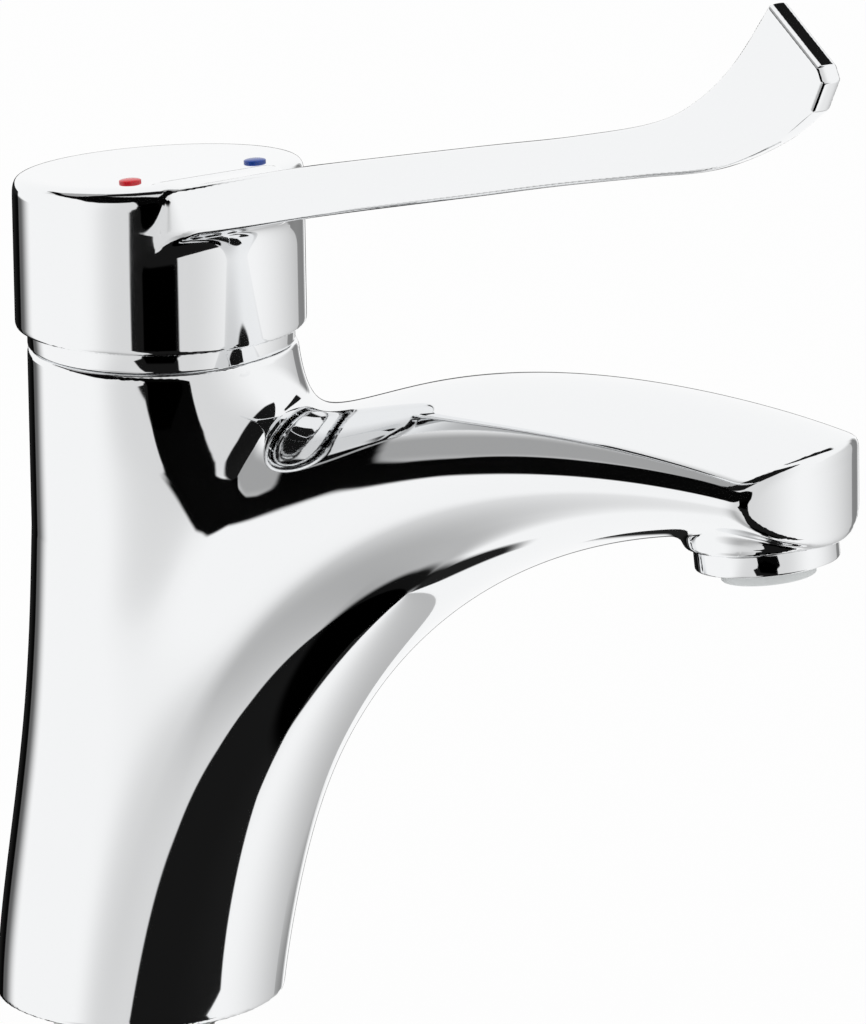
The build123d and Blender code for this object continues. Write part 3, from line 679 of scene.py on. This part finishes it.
nuts = grown("hexagon_nuts", None, {
    "Corner radius": NUT_FLATS / 2 / cos(pi / 6) * MM, "Thickness": NUT_HEIGHT * MM,
    "Easing radius": NUT_EASING * MM, "Bore radius": NUT_BORE * MM,
    "Height": (NUT_TOP - NUT_HEIGHT / 2) * MM, **stud_places}, nut_layout, steel)
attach(nuts, "tap")
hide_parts("stud_nuts")

insert_ring = turned("insert_ring", rounded(
    tube(INSERT_BORE, INSERT_RADIUS, INSERT_START, INSERT_END), INSERT_EDGE),
    acetal_white, outlet, stream, INSERT_SIDES)
insert = grown("aerator_insert_with_grid", insert_ring, {
    "Bars": GRID_BARS, "Bar width": BAR_WIDTH * MM, "Bar height": BAR_HEIGHT * MM,
    "Bar step": BAR_STEP * MM, "First bar": -(GRID_BARS - 1) / 2 * BAR_STEP * MM,
    "Depth": GRID_PLACE * MM, "Grid radius": GRID_RADIUS * MM}, grid_layout, acetal_white)
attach(insert, "tap")
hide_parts("aerator_insert")

# Finishes of the CAD nodes that stay
node_finishes = {
    "cover_seal": rubber, "port_seals": rubber, "aerator_washer": rubber,
    "base_gasket": rubber, "clamp_pad": rubber,
    "cartridge_base": acetal_grey, "cartridge_shell": acetal_grey, "cartridge_rotor": acetal_grey,
    "temperature_limiter": acetal_white, "disc_carrier": acetal_white,
    "fixed_ceramic_disc": ceramic, "moving_ceramic_disc": ceramic,
    "cartridge_nut": brass, "cartridge_stem": brass,
    "clamp_plate": steel, "pivot_pin": steel, "grub_screw": steel,
    "screw_plug": chrome_zinc,
}
for node, finish in node_finishes.items():
    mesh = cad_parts[node].data
    mesh.materials.clear()
    mesh.materials.append(finish)

# Stage
scene = bpy.context.scene
scene.view_settings.view_transform = "Standard"

# White backdrop paper: matt, and lit so evenly that the camera sees hardly a shadow
paper = bpy.data.materials.new("white_paper")
tree = cleared_tree(paper)
path = add(tree, "ShaderNodeLightPath")
glow = add(tree, "ShaderNodeEmission", {"Color": (1, 1, 1, 1), "Strength": 1.0})
matt = add(tree, "ShaderNodeBsdfDiffuse", {"Color": linear("#F6F6F6")})
seen = add(tree, "ShaderNodeMath", {"operation": "MULTIPLY", 1: FLOOR_GLOW},
           i0=path.outputs["Is Camera Ray"])
mixed = add(tree, "ShaderNodeMixShader", None, Fac=seen.outputs[0],
            i1=matt.outputs[0], i2=glow.outputs[0])
add(tree, "ShaderNodeOutputMaterial", None, Surface=mixed.outputs[0])

floor = mesh_object("studio_floor", [
    (x * FLOOR_HALF, y * FLOOR_HALF, STUD_BOTTOM - FLOOR_GAP)
    for x, y in ((-1, -1), (1, -1), (1, 1), (-1, 1))], [(0, 1, 2, 3)], paper)
floor.visible_glossy = False


# What the polished metal sees of the studio. Each board or shade lies between two
# edges: by "rise" they are turns at each rise, by "turn" they are rises at each
# turn. Turns go round from the front, from -260 to 100 degrees, and rises from
# -90 to 90. Then come the softness of the edges in degrees and how dark it is.
STUDIO = [
    # black strip in front, and the dark board on the floor below it
    ("rise", [(-90, -100), (-60, -78), (-45, -71), (-40, -67.5), (-32, -64.5), (-25, -68), (-20, -76),
              (-14, -81), (-12, -74.5), (-8, -73), (-4, -60), (90, 0)],
     [(-90, 30), (-80, -8), (-70, -4), (-60, -0.5), (-52, 1), (-45, 6), (-38, 11), (-33, 15), (-28, -15),
      (-22, -42), (-14, -43), (-8, -46), (-4, -65), (90, -200)], 0.7, 0.988),
    # dark floor right below the tap
    ("turn", [(-260, -95), (100, -95)],
     [(-260, -95), (-250, -92), (-245, -80), (-230, -68), (-215, -72), (-200, -79), (-185, -82),
      (-140, -83), (-110, -76), (-80, -62), (-5, -60), (12, -80), (20, -95), (100, -95)], 2.5, 0.985),
    # black arch overhead, from behind on the left down to the front
    ("turn", [(-260, 90), (-188, 90), (-183, 31), (-172, 31), (-160, 26), (-150, 20), (-146, 18),
              (-142, 17), (-135, 13.7), (-126, 10), (-120, 5), (-116, 2), (-111, 1.2), (-105, -0.8),
              (-97, -1.2), (-89, -1), (-80, 0), (-78, 1.2), (-76.2, 0), (-74.5, -4), (-73, -10), (-70, -16),
              (-46, -16), (-44, -12), (-39, -9), (-37, 90), (100, 90)],
     [(-260, -90), (-188, -90), (-183, 36), (-172, 38), (-160, 34), (-150, 29), (-142, 27),
      (-135, 27), (-126, 33), (-120, 42), (-115, 38), (-105, 36), (-95, 32.5), (-87, 30), (-80, 29),
      (-72, 27), (-62, 21), (-55, 15), (-47.5, 7.5), (-42.5, -1), (-39, -9), (-37, -90),
      (100, -90)], 1.0, 0.998),
    # dark ceiling over the front
    ("turn", [(-260, 90), (-128, 90), (-118, 36), (-80, 36), (-60, 42), (0, 46), (20, 50), (25, 90),
              (100, 90)],
     [(-260, -90), (-128, -90), (-118, 60), (-100, 84), (20, 84), (25, -90), (100, -90)], 1.5, 0.99),
    # grey wall above the arch on the left
    ("turn", [(-260, 90), (-182, 90), (-172, 26), (-150, 24), (-135, 24), (-118, 38), (-110, 90),
              (100, 90)],
     [(-260, -90), (-182, -90), (-172, 40), (-150, 54), (-125, 62), (-110, 62), (-105, -90), (100, -90)],
     8.0, 0.62),
    # black strip behind, and the grey beside it
    ("rise", [(-90, -200), (-50, -200), (-45, -238), (-6, -238), (-3, -200), (90, -200)],
     [(-90, -240), (-50, -240), (-45, -202), (-6, -202), (-3, -240), (90, -240)], 1.2, 0.985),
    ("rise", [(-90, -180), (-60, -180), (-45, -214), (-12, -214), (-6, -180), (90, -180)],
     [(-90, -240), (-60, -240), (-45, -188), (-12, -188), (-6, -240), (90, -240)], 10.0, 0.88),
    # black strip for the lever's end
    ("turn", [(-260, 90), (74, 90), (78, 36), (98, 36), (100, 90)],
     [(-260, -90), (74, -90), (78, 72), (98, 72), (100, -90)], 1.5, 0.99),
    # grey wall far behind, which darkens what is seen at a glancing angle
    ("turn", [(-260, -24), (-256, -24), (-250, 90), (74, 90), (84, -24), (100, -24)],
     [(-260, 10), (-256, 10), (-250, -90), (74, -90), (84, 10), (100, 10)], 5.0, 0.55),
    # dark spot straight behind, which draws the outline of every rounded edge
    ("turn", [(-260, 90), (-252, 90), (-250, -14), (-237, -28), (-224, -14), (-222, 90), (100, 90)],
     [(-260, -90), (-252, -90), (-250, -14), (-237, -2), (-224, -14), (-222, -90), (100, -90)],
     1.5, 0.85),
    # soft shade on the floor in front, and on the right
    ("rise", [(-90, -170), (-60, -135), (-30, -115), (-22, -100), (90, 0)],
     [(-90, 0), (-60, -80), (-30, -88), (-22, -100), (90, -100)], 22.0, 0.5),
    ("rise", [(-90, 60), (5, 60), (20, 100), (90, 100)],
     [(-90, 160), (5, 160), (20, 60), (90, 60)], 45.0, 0.5),
    ("rise", [(-90, -100), (90, -100)], [(-90, -10), (90, -10)], 24.0, 0.26),
]
TURN_START, TURN_END = -260.0, 100.0
SPANS = {"turn": (TURN_START, TURN_END), "rise": (-90.0, 90.0)}


def past_edge(tree, edge, along, measured, softness):
    """1 on the far side of an edge and 0 on the near side, with a soft change between.

    The edge gives the measured angle at places along the other one; both are
    pairs of a name in SPANS and a socket. A negative softness swaps the sides."""
    (first, last), (low, high) = SPANS[along[0]], SPANS[measured[0]]
    share = add(tree, "ShaderNodeMapRange", {"From Min": first, "From Max": last}, Value=along[1])
    drawn = add(tree, "ShaderNodeFloatCurve", None, Value=share.outputs[0])
    spots = [((a - first) / (last - first), (b - low) / (high - low)) for a, b in edge]
    points = drawn.mapping.curves[0].points
    points[0].location, points[1].location = spots[0], spots[-1]
    for spot in spots[1:-1]:
        points.new(*spot)
    for point in points:
        point.handle_type = "VECTOR"
    drawn.mapping.update()
    level = add(tree, "ShaderNodeMapRange", {"clamp": False, "To Min": low, "To Max": high},
                Value=drawn.outputs[0])
    past = add(tree, "ShaderNodeMath", {"operation": "SUBTRACT"},
               i0=measured[1], i1=level.outputs[0])
    return add(tree, "ShaderNodeMapRange", {
        "interpolation_type": "SMOOTHSTEP", "From Min": -softness, "From Max": softness},
        Value=past.outputs[0])


world = bpy.data.worlds.new("studio")
scene.world = world
tree = cleared_tree(world)
path = add(tree, "ShaderNodeLightPath")
toward = add(tree, "ShaderNodeTexCoord")
axes = add(tree, "ShaderNodeSeparateXYZ", None, Vector=toward.outputs["Generated"])
front = add(tree, "ShaderNodeMath", {"operation": "MULTIPLY", 1: -1.0}, i0=axes.outputs["Y"])
angle = add(tree, "ShaderNodeMath", {"operation": "ARCTAN2"},
            i0=axes.outputs["X"], i1=front.outputs[0])
round_way = add(tree, "ShaderNodeMath", {"operation": "DEGREES"}, i0=angle.outputs[0])
turn = add(tree, "ShaderNodeMath", {"operation": "WRAP", 1: TURN_END, 2: TURN_START},
           i0=round_way.outputs[0])
slope = add(tree, "ShaderNodeMath", {"operation": "ARCSINE"}, i0=axes.outputs["Z"])
rise = add(tree, "ShaderNodeMath", {"operation": "DEGREES"}, i0=slope.outputs[0])
ways = {"turn": (("turn", turn.outputs[0]), ("rise", rise.outputs[0])),
        "rise": (("rise", rise.outputs[0]), ("turn", turn.outputs[0]))}
light_left = None
for way, low_edge, high_edge, softness, darkness in STUDIO:
    past_low = past_edge(tree, low_edge, *ways[way], softness)
    before_high = past_edge(tree, high_edge, *ways[way], -softness)
    inside = add(tree, "ShaderNodeMath", {"operation": "MULTIPLY"},
                 i0=past_low.outputs[0], i1=before_high.outputs[0])
    let_through = add(tree, "ShaderNodeMath", {"operation": "MULTIPLY_ADD", 1: -darkness, 2: 1.0},
                      i0=inside.outputs[0])
    if light_left:
        let_through = add(tree, "ShaderNodeMath", {"operation": "MULTIPLY"},
                          i0=let_through.outputs[0], i1=light_left.outputs[0])
    light_left = let_through
mirrored = add(tree, "ShaderNodeBackground", {"Color": (1, 1, 1, 1)},
               Strength=light_left.outputs[0])
plain = add(tree, "ShaderNodeBackground", {"Color": (1, 1, 1, 1), "Strength": 1.0})
chosen = add(tree, "ShaderNodeMixShader", None, Fac=path.outputs["Is Glossy Ray"],
             i1=plain.outputs[0], i2=mirrored.outputs[0])
add(tree, "ShaderNodeOutputWorld", None, Surface=chosen.outputs[0])

# Camera
aim = np.array(CAMERA_AIM)
back = np.array([sin(CAMERA_TURN) * cos(CAMERA_RISE), -cos(CAMERA_TURN) * cos(CAMERA_RISE),
                 sin(CAMERA_RISE)])
right = np.cross([0, 0, 1.0], back)
right /= np.linalg.norm(right)
up = np.cross(back, right)
right, up = (cos(CAMERA_ROLL) * right - sin(CAMERA_ROLL) * up,
             sin(CAMERA_ROLL) * right + cos(CAMERA_ROLL) * up)
place = aim + CAMERA_DISTANCE * back
focal = PIXELS_PER_MM * CAMERA_DISTANCE
yaw = atan((CAMERA_AIM_PIXEL[0] - IMAGE[0] / 2) / focal)
pitch = atan((IMAGE[1] / 2 - CAMERA_AIM_PIXEL[1]) / focal * cos(yaw))
basis = Matrix(np.stack([right, up, back], 1).tolist())
basis = basis @ Matrix.Rotation(yaw, 3, "Y") @ Matrix.Rotation(-pitch, 3, "X")
lens = bpy.data.cameras.new("camera")
lens.sensor_width = SENSOR
lens.lens = SENSOR * focal / max(IMAGE)
lens.clip_start, lens.clip_end = CLIP_START, CLIP_END
camera = bpy.data.objects.new("camera", lens)
camera.matrix_world = Matrix.Translation(Vector(place * MM)) @ basis.to_4x4()
scene.collection.objects.link(camera)
scene.camera = camera
